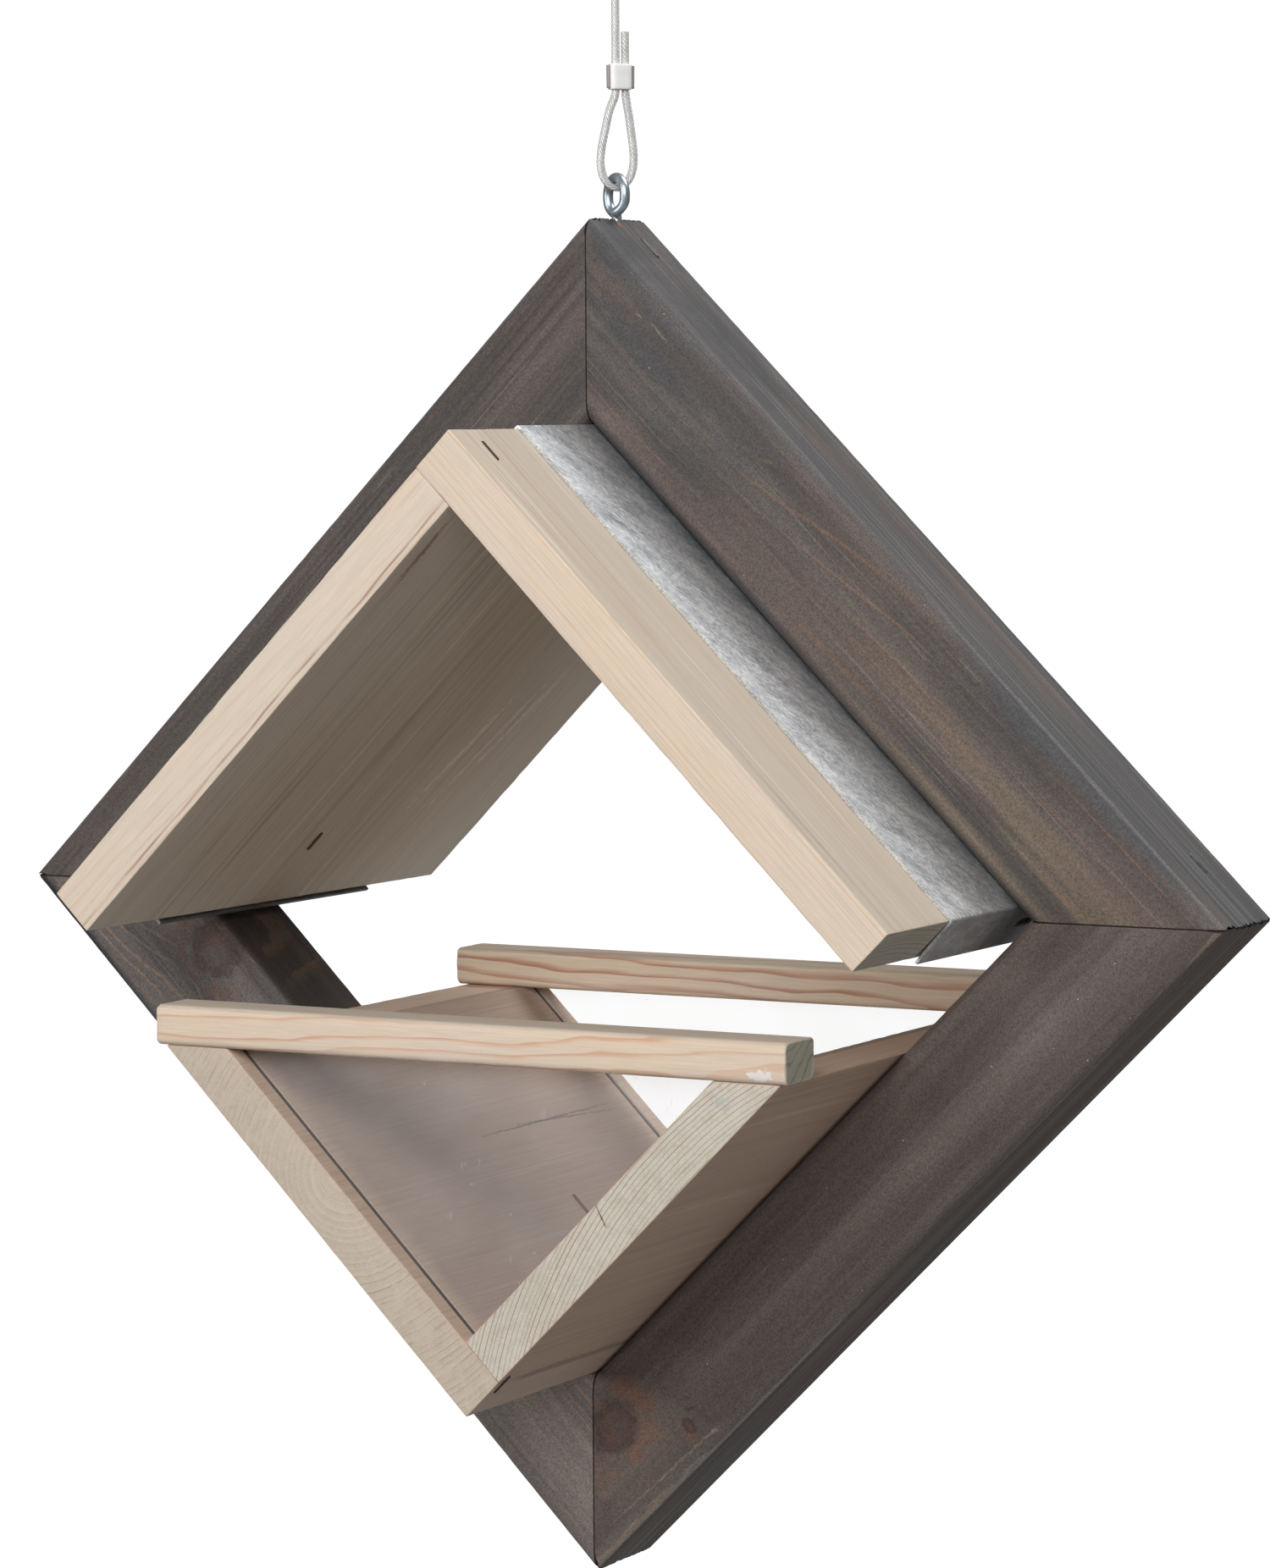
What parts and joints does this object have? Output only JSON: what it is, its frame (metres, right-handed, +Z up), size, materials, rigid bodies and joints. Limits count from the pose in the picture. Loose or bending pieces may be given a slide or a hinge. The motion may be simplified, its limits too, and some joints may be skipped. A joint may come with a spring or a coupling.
{
  "type": "hanging bird feeding house",
  "caption": "Wooden bird feeding house hung from a wire rope: a square frame stood on one corner with a gabled roof, a V-shaped seed tray, clear end panes and perch strips.",
  "frame": {"origin": "point inside the upper loop of the wire rope where it rests on a hook, straight above the middle of the house", "axes": "+Z up, +Y from the front to the back along the roof's ridge, +X to the right seen from the front"},
  "size_m": [0.4752, 0.232, 0.6136],
  "materials": {
    "stained_wood": "dark grey-brown stain, worn lighter on the long edges",
    "roof_wood": "bare softwood, sawn faces gone slightly grey",
    "tray_wood": "bare softwood with pale end grain",
    "perch_wood": "bare softwood with pinkish streaks",
    "galvanised_sheet": "galvanised steel with a fine spangle",
    "zinc_plated_steel": "bright zinc plating",
    "staple_steel": "dull wire",
    "rusty_staple": "rusted wire",
    "coated_rope": "wire rope in a clear coat",
    "ferrule_metal": "bright pressed sleeve",
    "clear_pane": "clear sheet, slightly hazy and scratched"
  },
  "bodies": {
    "hanger": {"wire_rope": "coated_rope", "ferrule_lower": "ferrule_metal", "ferrule_upper": "ferrule_metal"},
    "eye": {"eye_screw": "zinc_plated_steel"},
    "house": {"frame_upper_left": "stained_wood", "frame_upper_right": "stained_wood", "frame_lower_left": "stained_wood", "frame_lower_right": "stained_wood", "frame_corner_staples": "staple_steel", "roof_board_left": "roof_wood", "roof_board_right": "roof_wood", "roof_ridge_staples": "staple_steel", "roof_cover": "galvanised_sheet", "roof_frame_staples": "staple_steel", "tray_board_left": "tray_wood", "tray_board_right": "tray_wood", "tray_keel_staples": "staple_steel", "tray_frame_staples": "rusty_staple", "pane_front": "clear_pane", "pane_rear": "clear_pane", "perch_front": "perch_wood", "perch_rear": "perch_wood", "perch_brads": "staple_steel"}
  },
  "joints": [
    {"name": "swing", "type": "hinge", "parent": "hanger", "child": "eye", "pos_m": [0, 0, -0.125], "axis": [0.5299, 0.848, 0], "range_deg": [-45, 45]},
    {"name": "eye_turn", "type": "hinge", "parent": "eye", "child": "house", "pos_m": [0, 0, -0.15], "axis": [0, 0, 1], "range_deg": [-90, 90]}
  ]
}
